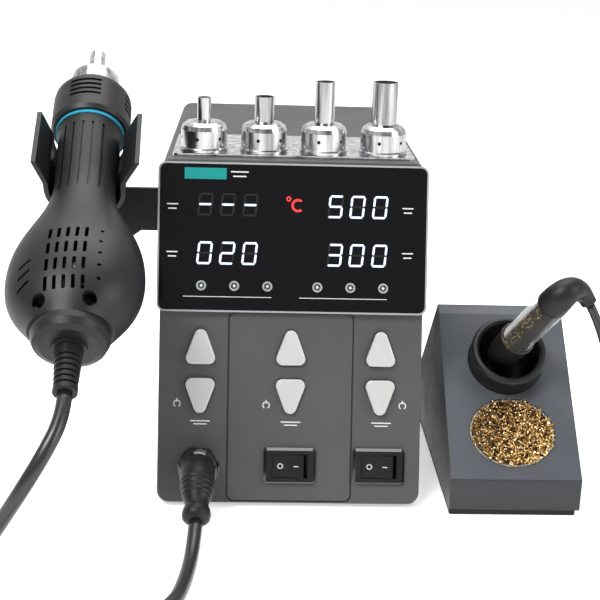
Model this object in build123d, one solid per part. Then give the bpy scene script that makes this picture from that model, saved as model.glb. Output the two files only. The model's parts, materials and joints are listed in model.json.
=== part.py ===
from build123d import *
import math
import os

# Hot-air and soldering station: control unit, hot-air gun in its side cradle, four spare
# nozzles on the unit's roof, and a soldering iron in a wedge stand beside it.
# Millimetres, +Z up, -Y towards the user. The set is drawn about the middle of the unit's
# bottom front edge and moved at the end so that its box is centred over the origin.

# ---------------------------------------------------------------- driving dimensions
UNIT_WIDTH = 120.0
UNIT_DEPTH = 204.0
FACE_LENGTH = 159.0            # front face, measured along its slope
FACE_LEAN = 16.63              # degrees that the front face leans back
FOOT_HEIGHT = 2.0
CASE_WALL = 2.0
CASE_CORNER = 5.5
BEZEL_DEPTH = 8.0              # front moulding, front to back
BEZEL_WALL = 2.5
FIT_GAP = 0.2                  # clearance round a piece that drops into a pocket
TOUCH = 0.3                    # gap between curved faces of different bodies

DISPLAY_WIDTH = 122.4
DISPLAY_HEIGHT = 67.5
DISPLAY_LOW = 89.7             # lower edge of the display, up the face
DISPLAY_PROUD = 3.0
DISPLAY_RIM = 0.8
DISPLAY_CORNER = 3.7
DIGIT_COLUMNS = (-29.8, 29.0)
DIGIT_ROWS = (138.2, 116.3)
MODULE_SIZE = (31.0, 14.5)
LED_COLUMNS = (11.3, 26.3, 41.2)
LED_ROW = 101.6
LED_RADIUS = 2.25

COLUMN = 41.0                  # spacing of the three columns of controls
BUTTON_ROWS = (73.8, 51.6)     # up button, down button
BUTTON_CORNER = 3.0
BUTTON_SPREAD = 3.7
BUTTON_RISE = 5.0
BUTTON_GAP = 0.45
BUTTON_TRAVEL = 1.2
TRIM_WIDTH = 56.0
TRIM_LOW = 4.0
TRIM_THICK = 1.4
POCKET_DEPTH = 0.8
ROCKER_ROW = 20.0
ROCKER_FRAME = (23.8, 16.7)
ROCKER_BODY = (20.0, 13.5)
ROCKER_OPENING = (16.2, 10.6)
ROCKER_TILT = 8.0
ROCKER_PIVOT = -3.0
SOCKET_ROW = 19.0
SOCKET_RADIUS = 7.0
RING_RADIUS = 8.6

RACK_WIDTH = 111.0
RACK_DEPTH = 50.0
RACK_THICK = 1.2
RACK_SETBACK = 4.5             # from the top front edge
NOZZLE_PITCH = 27.7
NOZZLE_BASE = 11.1             # outer radius of a nozzle's base
NOZZLE_LIFT = 45.0
# bore radius, outer radius and height of the four spare nozzles, left to right
NOZZLES = ((2.6, 3.2, 24.0), (4.0, 4.6, 25.0), (4.0, 4.6, 32.4), (5.2, 5.9, 32.8))

GUN_HEAD = (-93.8, 75.0, 173.3)     # centre of the collar's front face, gun at rest
GUN_ELEVATION = 33.0
GUN_HEADING = -2.0
GUN_ROLL = 6.0
COLLAR_RADIUS = 17.8
COLLAR_LENGTH = 24.0
ACCENT_WIDTH = 1.3
HEATER_RADIUS = 10.4
SHELL_WALL = 2.0
TAIL_RADIUS = 16.0
TAIL_END = 145.0
RELIEF_LENGTH = 22.0
GUN_LIFT = 60.0
FAN_STATION = 108.0
# distance from the collar's front, half width and half depth of the gun's body
GUN_STATIONS = ((25.3, 14.9, 14.9), (40.0, 13.9, 13.9), (55.0, 13.3, 13.0), (68.0, 14.3, 13.3),
                (80.0, 18.6, 15.2), (92.0, 24.4, 18.2), (104.0, 27.9, 20.6), (115.0, 28.6, 21.2),
                (124.0, 27.0, 20.4), (132.0, 22.6, 18.2), (138.0, 17.4, 16.0))

FORK_START = 29.0
FORK_LENGTH = 31.0
FORK_RADIUS = 15.7             # inside of the bowl
FORK_SHEET = 2.0
FORK_SPREAD = (19.5, 22.5)      # left and right tips, from the middle
FORK_HEIGHT = 18.0

STAND_LEFT = 73.2
STAND_FRONT = -4.3
STAND_WIDTH = 60.0
STAND_SLOPE = 42.0
STAND_SLANT = 86.0
STAND_LIP = 15.0
STAND_SHEET = 1.5
STAND_BACK = 136.0
STAND_BASE = 3.0
WOOL_HOLE = (19.9, 17.2)       # half width and half height of the oval hole
WOOL_STATION = 23.4
WOOL_DEPTH = 20.0
WOOL_LIFT = 30.0
HOLDER_STATION = 60.5
HOLDER_RIM = 17.75
HOLDER_RISE = 11.0
HOLDER_HOLE = 16.2

IRON_TURN = 19.0               # lean of the iron to the right of the holder's axis
IRON_GRIP = 8.25
IRON_BARREL = 5.6
IRON_SLEEVE = 7.1
IRON_COLLAR = 10.5             # collar's upper edge above the holder's rim
IRON_TOP = 44.0
IRON_TIP = -60.0
IRON_LIFT = 75.0

GUN_CORD = 6.0                 # diameters
IRON_CORD = 4.0


# ---------------------------------------------------------------- frames
lean = math.radians(FACE_LEAN)
UNIT_TOP = FACE_LENGTH * math.cos(lean)
UNIT_TOP_FRONT = FACE_LENGTH * math.sin(lean)
FACE = Plane(origin=(0, 0, 0), x_dir=(1, 0, 0), z_dir=(0, -math.cos(lean), math.sin(lean)))

elevation = math.radians(GUN_ELEVATION)
heading = math.radians(GUN_HEADING)
GUN_AXIS = Vector(math.cos(elevation) * math.sin(heading),
                  math.cos(elevation) * math.cos(heading), math.sin(elevation))
GUN_RIGHT = GUN_AXIS.cross(Vector(0, 0, 1)).normalized()
CRADLE = Plane(origin=GUN_HEAD, x_dir=GUN_RIGHT, z_dir=-GUN_AXIS)
GUN = Plane(CRADLE.location * Rot(0, 0, GUN_ROLL))

slope = math.radians(STAND_SLOPE)
SLANT = Plane(origin=(STAND_LEFT + STAND_WIDTH / 2, STAND_FRONT + 0.3, STAND_BASE + STAND_LIP),
              x_dir=(1, 0, 0), z_dir=(0, -math.sin(slope), math.cos(slope)))
turn = math.radians(IRON_TURN)
IRON_SEAT = (SLANT.location * Pos(-0.3, HOLDER_STATION + 1.5, HOLDER_RISE)).position
IRON_AXIS = Vector(math.sin(turn) * math.cos(slope), -math.sin(slope), math.cos(turn) * math.cos(slope))
IRON = Plane(origin=IRON_SEAT, x_dir=(1, 0, 0), z_dir=IRON_AXIS)


def on(plane, x, y, z=0.0):
    """Location at x, y, z in a plane's own axes."""
    return plane.location * Pos(x, y, z)


def plate(plane, width, height, corner, low, high, x=0.0, y=0.0):
    """Rounded plate on a plane between two distances along its normal."""
    return on(plane, x, y, low) * extrude(RectangleRounded(width, height, corner), high - low)


def disc(plane, radius, low, high, x=0.0, y=0.0):
    """Cylinder on a plane between two distances along its normal."""
    return on(plane, x, y, low) * Cylinder(radius, high - low, align=(Align.CENTER, Align.CENTER, Align.MIN))


def turned(plane, profile, x=0.0, y=0.0):
    """Solid of revolution about a plane's normal, from (radius, height) points."""
    outline = make_face(Polyline(*[(r, 0, h) for r, h in profile], close=True))
    return on(plane, x, y) * revolve(outline, Axis.Z)


def block(low, high):
    """Box between two corners."""
    size = [b - a for a, b in zip(low, high)]
    return Pos(*low) * Box(*size, align=(Align.MIN, Align.MIN, Align.MIN))


def half_space(plane, reach=600.0):
    """Everything in front of a plane, as a large box."""
    return plane.location * Box(reach, reach, reach, align=(Align.CENTER, Align.CENTER, Align.MIN))


def lofted(plane, sections):
    """Smooth body through ellipses given as (distance along the normal, half width, half depth)."""
    return loft([on(plane, 0, 0, s) * Ellipse(w, d) for s, w, d in sections])


def group(*solids):
    """Separate solids that share one node."""
    flat = []
    for item in solids:
        flat += list(item.solids())
    return Compound(children=flat)


# ---------------------------------------------------------------- control unit
def case_block(inset):
    """Round-cornered block of the unit's cross-section, shrunk by an inset on all sides."""
    height = UNIT_TOP - FOOT_HEIGHT - 2 * inset
    section = RectangleRounded(UNIT_WIDTH - 2 * inset, height, CASE_CORNER - inset * 0.9)
    middle = (UNIT_TOP + FOOT_HEIGHT) / 2
    return Plane(origin=(0, UNIT_DEPTH, middle), x_dir=(1, 0, 0), z_dir=(0, -1, 0)).location * extrude(
        section, UNIT_DEPTH + 20)


BEHIND_BEZEL = FACE.offset(-BEZEL_DEPTH)
RETURN_WIDTH = 12.0


def case_shell():
    shell = case_block(0) - case_block(CASE_WALL)
    slot = UNIT_WIDTH / 2 - RETURN_WIDTH
    shell -= block((-slot, -20, 0), (slot, UNIT_DEPTH + 1, FOOT_HEIGHT + CASE_WALL + 0.01))
    return shell - half_space(BEHIND_BEZEL)


def base_plate():
    low = FOOT_HEIGHT + CASE_WALL
    half = UNIT_WIDTH / 2 - CASE_WALL - 4
    sheet = block((-half, 12, low), (half, UNIT_DEPTH - 4, low + 1.5))
    for x in (-38, 38):
        for y in (45, 125):
            sheet += Pos(x, y, low + 1.5) * Cylinder(3, 6, align=(Align.CENTER, Align.CENTER, Align.MIN))
    return sheet


def feet():
    low_slot = FOOT_HEIGHT + CASE_WALL
    pads = []
    for x in (-38, 38):
        for y in (26, UNIT_DEPTH - 26):
            pad = Pos(x, y, 0) * Cone(6.5, 7.5, low_slot, align=(Align.CENTER, Align.CENTER, Align.MIN))
            pads.append(pad)
    return group(*pads)


def button_outline(grow):
    """Rounded triangle with its point up."""
    rounds = [(0, BUTTON_RISE), (-BUTTON_SPREAD, -BUTTON_RISE), (BUTTON_SPREAD, -BUTTON_RISE)]
    circles = [Pos(x, y) * Circle(BUTTON_CORNER + grow) for x, y in rounds]
    edges = []
    for circle in circles:
        edges += list(circle.edges())
    return make_hull(edges)


BUTTON_PLACES = {}
for column, side in ((-COLUMN, "left"), (0.0, "middle"), (COLUMN, "right")):
    for row, way, spin in ((BUTTON_ROWS[0], "up", 0), (BUTTON_ROWS[1], "down", 180)):
        BUTTON_PLACES[f"button_{way}_{side}"] = (column, row, spin)
ROCKER_PLACES = {"rocker_middle": 0.3, "rocker_right": COLUMN}


def button_prism(place, grow, low, high):
    x, y, spin = place
    return on(FACE, x, y, low) * Rot(0, 0, spin) * extrude(button_outline(grow), high - low)


def front_bezel():
    body = case_block(0) - half_space(FACE)
    body &= half_space(BEHIND_BEZEL)
    rim = [e for e in body.edges() if abs(FACE.to_local_coords(e.center()).Z) < 0.01]
    body = fillet(rim, 1.2)
    hollow = case_block(BEZEL_WALL) - half_space(FACE.offset(-BEZEL_WALL))
    body -= hollow
    body -= plate(FACE, TRIM_WIDTH + 1.4, DISPLAY_LOW - TRIM_LOW + 1.4, 3.4, -POCKET_DEPTH, 5,
                  0, (DISPLAY_LOW + TRIM_LOW) / 2)
    for place in BUTTON_PLACES.values():
        body -= button_prism(place, BUTTON_GAP, -BEZEL_WALL - 1, 5)
    for x in ROCKER_PLACES.values():
        body -= plate(FACE, ROCKER_BODY[0] + 2 * FIT_GAP, ROCKER_BODY[1] + 2 * FIT_GAP, 0.5,
                      -BEZEL_WALL - 1, 5, x, ROCKER_ROW)
    body -= disc(FACE, SOCKET_RADIUS + 0.5 + FIT_GAP, -BEZEL_WALL - 1, 5, -COLUMN, SOCKET_ROW)
    for x in DIGIT_COLUMNS:
        for y in DIGIT_ROWS:
            body -= plate(FACE, MODULE_SIZE[0] + 1, MODULE_SIZE[1] + 1, 0.5, -BEZEL_WALL - 1, 5, x, y)
    for x in LED_COLUMNS:
        for side in (-1, 1):
            body -= disc(FACE, LED_RADIUS + 0.3, -BEZEL_WALL - 1, 5, side * x, LED_ROW)
    return body


def centre_trim():
    low = -POCKET_DEPTH
    height = DISPLAY_LOW - TRIM_LOW - FIT_GAP
    trim = plate(FACE, TRIM_WIDTH, height, 3.0, low, low + TRIM_THICK, 0, TRIM_LOW + height / 2)
    top = [e for e in trim.edges() if abs(FACE.to_local_coords(e.center()).Z - low - TRIM_THICK) < 0.01]
    trim = fillet(top, 0.45)
    for name, place in BUTTON_PLACES.items():
        if "middle" in name:
            trim -= button_prism(place, BUTTON_GAP, low - 1, 5)
    trim -= plate(FACE, ROCKER_BODY[0] + 2 * FIT_GAP, ROCKER_BODY[1] + 2 * FIT_GAP, 0.5, low - 1, 5,
                  ROCKER_PLACES["rocker_middle"], ROCKER_ROW)
    return trim


DISPLAY_MIDDLE = DISPLAY_LOW + DISPLAY_HEIGHT / 2


def display_bezel():
    frame = plate(FACE, DISPLAY_WIDTH, DISPLAY_HEIGHT, DISPLAY_CORNER, 0, DISPLAY_PROUD, 0, DISPLAY_MIDDLE)
    frame -= plate(FACE, DISPLAY_WIDTH - 2 * DISPLAY_RIM, DISPLAY_HEIGHT - 2 * DISPLAY_RIM,
                   DISPLAY_CORNER - DISPLAY_RIM, 1, 5, 0, DISPLAY_MIDDLE)
    for x in DIGIT_COLUMNS:
        for y in DIGIT_ROWS:
            frame -= plate(FACE, MODULE_SIZE[0] + 1, MODULE_SIZE[1] + 1, 0.5, -1, 5, x, y)
    for x in LED_COLUMNS:
        for side in (-1, 1):
            frame -= disc(FACE, LED_RADIUS + 0.3, -1, 5, side * x, LED_ROW)
    return frame


def display_lens():
    width = DISPLAY_WIDTH - 2 * DISPLAY_RIM - 0.1
    height = DISPLAY_HEIGHT - 2 * DISPLAY_RIM - 0.1
    lens = plate(FACE, width, height, DISPLAY_CORNER - DISPLAY_RIM, 1, DISPLAY_PROUD - 0.1, 0, DISPLAY_MIDDLE)
    for x in LED_COLUMNS:
        for side in (-1, 1):
            lens -= disc(FACE, LED_RADIUS + 0.02, 0, 5, side * x, LED_ROW)
    return lens


def led_bezels():
    rings = []
    for side in (-1, 1):
        for x in LED_COLUMNS:
            ring = disc(FACE, LED_RADIUS, 0.2, DISPLAY_PROUD + 0.35, side * x, LED_ROW)
            ring -= disc(FACE, LED_RADIUS - 0.75, 1.4, 5, side * x, LED_ROW)
            rings.append(ring)
    return group(*rings)


BOARD_FRONT = -9.4
MODULE_FRONT = 1.0


STEM_END = -4.7


def front_board():
    """Circuit board with its six switches and four digit blocks."""
    board = plate(FACE, 108, 112, 1.0, BOARD_FRONT - 1.6, BOARD_FRONT, 0, 97)
    for x, y, spin in BUTTON_PLACES.values():
        board += plate(FACE, 6, 6, 0.4, BOARD_FRONT - 0.1, STEM_END - BUTTON_TRAVEL - 0.3, x, y)
    for y in (48, 146):
        for x in (-47, 47):
            board -= disc(FACE, 1.6, BOARD_FRONT - 3, BOARD_FRONT + 1, x, y)
    for x in DIGIT_COLUMNS:
        for y in DIGIT_ROWS:
            board += plate(FACE, *MODULE_SIZE, 0.5, BOARD_FRONT - 0.1, MODULE_FRONT, x, y)
    return board


def button(place):
    cap = button_prism(place, 0, -BEZEL_WALL - 0.5, 2.6)
    top = [e for e in cap.edges() if abs(FACE.to_local_coords(e.center()).Z - 2.6) < 0.01]
    cap = fillet(top, 1.0)
    cap += button_prism(place, 1.3, -BEZEL_WALL - 1.0, -BEZEL_WALL - 0.15)
    cap += disc(FACE, 2, STEM_END, -BEZEL_WALL, place[0], place[1])
    return cap


def rocker_frame(x):
    low = TRIM_THICK - POCKET_DEPTH if x < COLUMN / 2 else 0.0
    flange = plate(FACE, *ROCKER_FRAME, 1.8, low, low + 2.2, x, ROCKER_ROW)
    top = [e for e in flange.edges() if abs(FACE.to_local_coords(e.center()).Z - low - 2.2) < 0.01]
    flange = chamfer(top, 1.2)
    flange += plate(FACE, *ROCKER_BODY, 0.5, -15, low + 0.1, x, ROCKER_ROW)
    flange -= plate(FACE, *ROCKER_OPENING, 0.3, -9, 6, x, ROCKER_ROW)
    for blade in (-6, 0, 6):
        flange += plate(FACE, 0.8, 4.8, 0.2, -23, -14.9, x + blade, ROCKER_ROW)
    return flange


def rocker(x):
    """Paddle with a shallow V on top, stored with its left end pressed in."""
    half = 7.1
    points = [(-half, -3.6), (-half, 5.6), (0, 4.7), (half, 5.6), (half, -3.6), (2, -5.2), (-2, -5.2)]
    profile = make_face(Polyline(*points, close=True))
    depth = ROCKER_OPENING[1] - 2 * FIT_GAP
    paddle = Rot(90, 0, 0) * extrude(profile, depth / 2, both=True)
    pin = Rot(90, 0, 0) * Cylinder(1.2, depth)
    lift = TRIM_THICK - POCKET_DEPTH if x < COLUMN / 2 else 0.0
    return on(FACE, x, ROCKER_ROW, ROCKER_PIVOT + lift) * Rot(0, -ROCKER_TILT, 0) * (paddle + pin)


def gun_socket():
    profile = [(5.9, -12), (SOCKET_RADIUS + 0.5, -12), (SOCKET_RADIUS + 0.5, 0), (9.5, 0), (9.5, 1.6),
               (9.0, 2.0), (SOCKET_RADIUS, 2.0), (SOCKET_RADIUS, 8.6), (5.9, 8.6)]
    socket = turned(FACE, profile, -COLUMN, SOCKET_ROW)
    socket += disc(FACE, 6.2, -12, -2, -COLUMN, SOCKET_ROW)
    socket += turned(FACE, [(SOCKET_RADIUS + 0.4, -6.5), (9.8, -6.5), (9.8, -3.0), (SOCKET_RADIUS + 0.4, -3.0)],
                     -COLUMN, SOCKET_ROW)
    return socket


def plug_ring():
    clear = SOCKET_RADIUS + 0.05
    profile = [(clear, 2.4), (RING_RADIUS - 0.4, 2.4), (RING_RADIUS, 2.9), (RING_RADIUS, 11.6),
               (RING_RADIUS - 0.8, 12.4), (6.45, 12.4), (6.45, 9.4), (clear, 9.4)]
    ring = turned(FACE, profile, -COLUMN, SOCKET_ROW)
    for k in range(24):
        groove = on(FACE, -COLUMN, SOCKET_ROW, 7.3) * Rot(0, 0, 15 * k) * Pos(RING_RADIUS, 0, 0)
        ring -= groove * Box(0.5, 0.8, 6)
    return ring


PLUG_START = on(FACE, -COLUMN, SOCKET_ROW, 12.8).position
PLUG_END = Vector(-COLUMN + 0.6, -34.5, 11.6)
PLUG_EXIT = Vector(-0.04, -0.90, -0.43).normalized()


def boot(line, sections, across):
    """Round rubber boot along a curve, from (part of the way, radius) pairs."""
    faces = []
    for (start, first), (end, last) in zip(sections, sections[1:] + sections[-1:]):
        for k in range(4 if end > start else 1):
            t = start + (end - start) * k / 4
            radius = first + (last - first) * k / 4
            faces.append(Plane(origin=line @ t, x_dir=across, z_dir=line % t).location * Circle(radius))
    return loft(faces, ruled=True)


def gun_plug():
    """Plug that sits in the socket, with a boot that droops to a rounded end."""
    core = turned(FACE, [(0, -1.5), (5.85, -1.5), (5.85, 8.8), (6.8, 8.8), (6.8, 9.2), (6.35, 9.3), (6.35, 13.0),
                         (0, 13.0)], -COLUMN, SOCKET_ROW)
    line = Bezier(PLUG_START, PLUG_START + FACE.z_dir * 9, PLUG_END - PLUG_EXIT * 9, PLUG_END)
    sections = ((0, 7.9), (0.22, 7.8), (0.45, 7.4), (0.62, 6.4), (0.72, 5.2), (0.84, 6.3), (0.93, 6.1), (1.0, 4.6))
    return core + boot(line, sections, (1, 0, 0))


def nozzle_rack():
    """Polished tray with one low post for each nozzle."""
    front = UNIT_TOP_FRONT + RACK_SETBACK
    tray = block((-RACK_WIDTH / 2, front, UNIT_TOP), (RACK_WIDTH / 2, front + RACK_DEPTH, UNIT_TOP + RACK_THICK))
    uprights = [e for e in tray.edges() if abs(e.tangent_at(0.5).Z) > 0.9]
    tray = fillet(uprights, 3)
    for k in range(4):
        tray += Pos(nozzle_x(k), NOZZLE_LINE, UNIT_TOP + RACK_THICK - 0.1) * Cylinder(
            NOZZLE_BASE - 1.6, 5, align=(Align.CENTER, Align.CENTER, Align.MIN))
    return tray


NOZZLE_LINE = UNIT_TOP_FRONT + RACK_SETBACK + 11.5


def nozzle_x(k):
    return (k - 1.5) * NOZZLE_PITCH


def nozzle_shape(bore, outer, height):
    """Round nozzle: base cup with a rolled foot, domed shoulder and a straight tube."""
    base = NOZZLE_BASE
    wall = 0.7
    profile = [(base - wall, 0), (base, 0), (base, 1.2), (base - 0.5, 1.8), (base - 0.5, 9.6), (base - 1.2, 11.6),
               (base - 3.0, 13.0), (outer, 13.8), (outer, height), (bore, height), (bore, 13.0),
               (base - 3.4, 12.2), (base - 1.9, 10.9), (base - 0.5 - wall, 9.2), (base - 0.5 - wall, 2.0)]
    return turned(Plane.XY, profile)


def nozzle(k):
    shape = nozzle_shape(*NOZZLES[k])
    for turn in range(6):
        shape -= Rot(0, 0, 60 * turn + 15) * Pos(NOZZLE_BASE - 1, 0, 6) * Rot(0, 90, 0) * Cylinder(0.8, 4)
    return Pos(nozzle_x(k), NOZZLE_LINE, UNIT_TOP + RACK_THICK + 0.05) * shape


REAR_FACE = UNIT_DEPTH - 1.2
REAR = Plane(origin=(0, REAR_FACE, 0), x_dir=(-1, 0, 0), z_dir=(0, 1, 0))
INLET_AT = (-26.0, 36.0)
IRON_SOCKET_AT = (30.0, 36.0)


def rear_panel():
    low = FOOT_HEIGHT + CASE_WALL + FIT_GAP
    high = UNIT_TOP - CASE_WALL - FIT_GAP
    width = UNIT_WIDTH - 2 * CASE_WALL - 2 * FIT_GAP
    panel = plate(REAR, width, high - low, CASE_CORNER - CASE_WALL, -1.8, 0, 0, (low + high) / 2)
    panel -= plate(REAR, 27.6, 20.0, 1.0, -3, 1, *INLET_AT)
    panel -= disc(REAR, SOCKET_RADIUS + 0.5 + FIT_GAP, -3, 1, *IRON_SOCKET_AT)
    for row in range(3):
        for k in range(11):
            panel -= plate(REAR, 2.4, 14.0, 1.1, -3, 1, (k - 5) * 7.5, 78 + row * 20)
    return panel


def mains_inlet():
    x, y = INLET_AT
    inlet = plate(REAR, 27.2, 19.6, 1.0, -22, 0.05, x, y) + plate(REAR, 48, 25, 3.0, 0, 2.4, x, y)
    inlet -= plate(REAR, 24.2, 16.2, 2.0, -14, 5, x, y)
    for pin, rise in ((-7, -2), (0, 3), (7, -2)):
        inlet += plate(REAR, 2.0, 4.0, 0.3, -15, -4, x + pin, y + rise)
    for side in (-1, 1):
        inlet -= disc(REAR, 1.7, -1, 5, x + 20 * side, y)
    return inlet


def iron_socket():
    profile = [(5.6, -12), (SOCKET_RADIUS + 0.5, -12), (SOCKET_RADIUS + 0.5, 0), (9.5, 0), (9.5, 1.6), (9.0, 2.0),
               (SOCKET_RADIUS, 2.0), (SOCKET_RADIUS, 8.6), (5.6, 8.6)]
    socket = turned(REAR, profile, *IRON_SOCKET_AT) + disc(REAR, 6, -12, -2, *IRON_SOCKET_AT)
    for k in range(5):
        pin = on(REAR, *IRON_SOCKET_AT, -2.1) * Rot(0, 0, 72 * k) * Pos(3.1, 0, 0)
        socket += pin * Cylinder(0.7, 7, align=(Align.CENTER, Align.CENTER, Align.MIN))
    return socket


BOARD_LOW = FOOT_HEIGHT + CASE_WALL + 1.5 + 6


def main_board():
    board = block((-45, 38, BOARD_LOW), (45, 132, BOARD_LOW + 1.6))
    for x, y, wide, deep, tall in ((-30, 60, 18, 26, 22), (0, 55, 12, 12, 18), (24, 60, 20, 10, 12),
                                   (-20, 105, 14, 14, 10), (18, 100, 24, 16, 14)):
        board += Pos(x, y, BOARD_LOW + 1.5) * Box(wide, deep, tall, align=(Align.CENTER, Align.CENTER, Align.MIN))
    return board


def transformer():
    low = FOOT_HEIGHT + CASE_WALL + 1.5
    core = Pos(0, 154, low) * Box(54, 26, 46, align=(Align.CENTER, Align.CENTER, Align.MIN))
    for x in (-13.5, 13.5):
        core -= Pos(x, 154, low + 9) * Box(9, 40, 28, align=(Align.CENTER, Align.CENTER, Align.MIN))
    coil = Pos(0, 154, low + 9.2) * Box(35.6, 44, 27.6, align=(Align.CENTER, Align.CENTER, Align.MIN))
    coil -= Pos(0, 154, low) * Box(18, 26, 60, align=(Align.CENTER, Align.CENTER, Align.MIN))
    return group(core, coil - core)


def pan_screw(place, radius=2.7):
    """Pan head with a short shank, head outwards along the place's Z."""
    head = place * Cone(radius, radius * 0.7, 1.6, align=(Align.CENTER, Align.CENTER, Align.MIN))
    slot = place * Pos(0, 0, 1.9) * (Box(3.0, 0.7, 1.6) + Box(0.7, 3.0, 1.6))
    return head - slot


def case_screws():
    heads = []
    for side in (-1, 1):
        for y in (62, UNIT_DEPTH - 20):
            wall = Plane(origin=(side * UNIT_WIDTH / 2, y, 14), x_dir=(0, 1, 0), z_dir=(side, 0, 0))
            heads.append(pan_screw(wall.location))
    for x in (-52, 52):
        for z in (14, UNIT_TOP - 12):
            heads.append(pan_screw(on(REAR, x, z)))
    for y in (FLANGE_FRONT + 7, FLANGE_BACK - 7):
        wall = Plane(origin=(-UNIT_WIDTH / 2 - FORK_SHEET, y, ARM_LOW + 9), x_dir=(0, 1, 0), z_dir=(-1, 0, 0))
        heads.append(pan_screw(wall.location))
    return group(*heads)


# ---------------------------------------------------------------- cradle
ARM_LOW = 117.0
ARM_HIGH = 137.0
ARM_FRONT = 50.0
FLANGE_FRONT = ARM_FRONT
FLANGE_BACK = 84.0


def cradle():
    """Bent steel bracket: open fork for the handle, arm and a flange on the unit's wall."""
    left_tip, right_tip = FORK_SPREAD
    side = FORK_RADIUS
    left = Line((-left_tip, FORK_HEIGHT), (-side, 5))
    wall = Line((-side, 5), (-side, 0))
    bowl = ThreePointArc((-side, 0), (0, -side), (side, 0))
    right_wall = Line((side, 0), (side, 5))
    right = Line((side, 5), (right_tip, FORK_HEIGHT))
    room = make_face([left, wall, bowl, right_wall, right, Line((right_tip, FORK_HEIGHT), (-left_tip, FORK_HEIGHT))])
    band = offset(room, amount=FORK_SHEET) - room - Pos(0, FORK_HEIGHT + 20) * Rectangle(120, 40)
    fork = on(CRADLE, 0, 0, FORK_START) * extrude(band, FORK_LENGTH)
    wall_x = -UNIT_WIDTH / 2
    outline = [(wall_x, ARM_LOW), (wall_x - 10, ARM_LOW), (wall_x - 18, ARM_LOW - 6), (wall_x - 40, ARM_LOW - 6),
               (wall_x - 44, ARM_LOW), (wall_x - 44, ARM_HIGH), (wall_x, ARM_HIGH)]
    arm_face = make_face(Polyline(*[(x, 0, z) for x, z in outline], close=True))
    arm = Pos(0, ARM_FRONT, 0) * extrude(arm_face, FORK_SHEET + 0.5, dir=(0, 1, 0))
    bowl_room = disc(CRADLE, FORK_RADIUS + 0.5, FORK_START - 20, FORK_START + FORK_LENGTH + 20)
    flange = block((wall_x - FORK_SHEET, FLANGE_FRONT, ARM_LOW - 4), (wall_x, FLANGE_BACK, ARM_HIGH))
    return fork + (arm - bowl_room) + flange


# ---------------------------------------------------------------- hot-air gun
def shrunk(wall):
    return [(s, w - wall, d - wall) for s, w, d in GUN_STATIONS]


def gun_shell(side):
    """One half of the gun's body; side is 1 for the half towards the user, -1 for the other."""
    outer = lofted(GUN, GUN_STATIONS)
    inner_stations = shrunk(SHELL_WALL)
    cavity = lofted(GUN, inner_stations[:-1] + [(GUN_STATIONS[-1][0] - SHELL_WALL, 14.5, 13.0)])
    skin = outer - cavity
    skin -= disc(GUN, GUN_STATIONS[0][1] - SHELL_WALL - 0.3, 20, 40)
    half = on(GUN, 0, side * 100, 80) * Box(200, 200 - 0.02, 200)
    skin &= half
    if side > 0:
        outer_slim = lofted(GUN, shrunk(0.7))
        for k in range(5):
            rib = on(GUN, (k - 2) * 4.2, 12, 49) * Box(0.9, 24, 38)
            skin -= (rib & outer) - outer_slim
        for row in range(4):
            for k in range(5):
                skin -= plate(GUN_FRONT, 1.5, 6.0, 0.7, 4, 40, (k - 2) * 3.7, 101.5 + row * 8.5)
        for k in range(3):
            slit = GUN_FRONT.location * Pos(17.0, 115 + 5.0 * k, 4) * Rot(0, 0, 28)
            skin -= slit * extrude(RectangleRounded(6.0, 1.1, 0.5), 40)
        for k in range(5):
            skin -= plate(GUN_FRONT, 1.6, 1.2, 0.5, 4, 40, -13.3, 100 + 6.2 * k)
        for x in (-10, 10):
            skin -= disc(GUN_FRONT, 2.8, 12.5, 40, x, 133.0)
    return skin


# Looks at the gun's front: X to the gun's left, Y along the stations, Z out of the front.
GUN_FRONT = Plane(origin=GUN.origin, x_dir=-GUN.x_dir, z_dir=GUN.y_dir)


def gun_collar():
    """Collar with four ribbed grip panels and a mouth for the heater tube."""
    mouth = HEATER_RADIUS + 0.6
    profile = [(mouth, 0), (COLLAR_RADIUS - 4, 0), (COLLAR_RADIUS - 1.6, 1.0), (COLLAR_RADIUS - 0.4, 3.0),
               (COLLAR_RADIUS, 5.5), (COLLAR_RADIUS, COLLAR_LENGTH - 2), (COLLAR_RADIUS - 1, COLLAR_LENGTH),
               (COLLAR_RADIUS - 3.2, COLLAR_LENGTH), (COLLAR_RADIUS - 3.2, 4), (mouth, 3)]
    collar = turned(GUN, profile)
    ring = disc(GUN, COLLAR_RADIUS + 1, 0, 1.5) - disc(GUN, COLLAR_RADIUS - 0.9, -1, 3)
    panel = Box(14, 2 * COLLAR_RADIUS, 1.6)
    for quarter in range(4):
        turn = on(GUN, 0, 0) * Rot(0, 0, 90 * quarter)
        for k in range(4):
            low = 5.5 + 2.9 * k
            groove = (turn * Pos(0, COLLAR_RADIUS, low + 0.8) * panel) & moved_along(ring, GUN.z_dir, low)
            collar -= groove
    return collar


def moved_along(shape, direction, distance):
    return Pos(*(direction * distance)) * shape


def accent_ring():
    low = COLLAR_LENGTH
    high = GUN_STATIONS[0][0]
    outer = GUN_STATIONS[0][1] + 0.5
    return disc(GUN, outer, low, high) - disc(GUN, outer - 3.0, low - 1, high + 1)


def heater():
    """Steel tube round a ceramic former with air channels."""
    tube = disc(GUN, HEATER_RADIUS, -12, 62) - disc(GUN, HEATER_RADIUS - 0.6, -13, 63)
    core = disc(GUN, HEATER_RADIUS - 1.4, 6, 58)
    for k in range(6):
        channel = on(GUN, 0, 0, 32) * Rot(0, 0, 60 * k) * Pos(5.6, 0, 0)
        core -= channel * Cylinder(1.7, 60)
    return group(tube, core - disc(GUN, 1.8, 0, 70))


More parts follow.
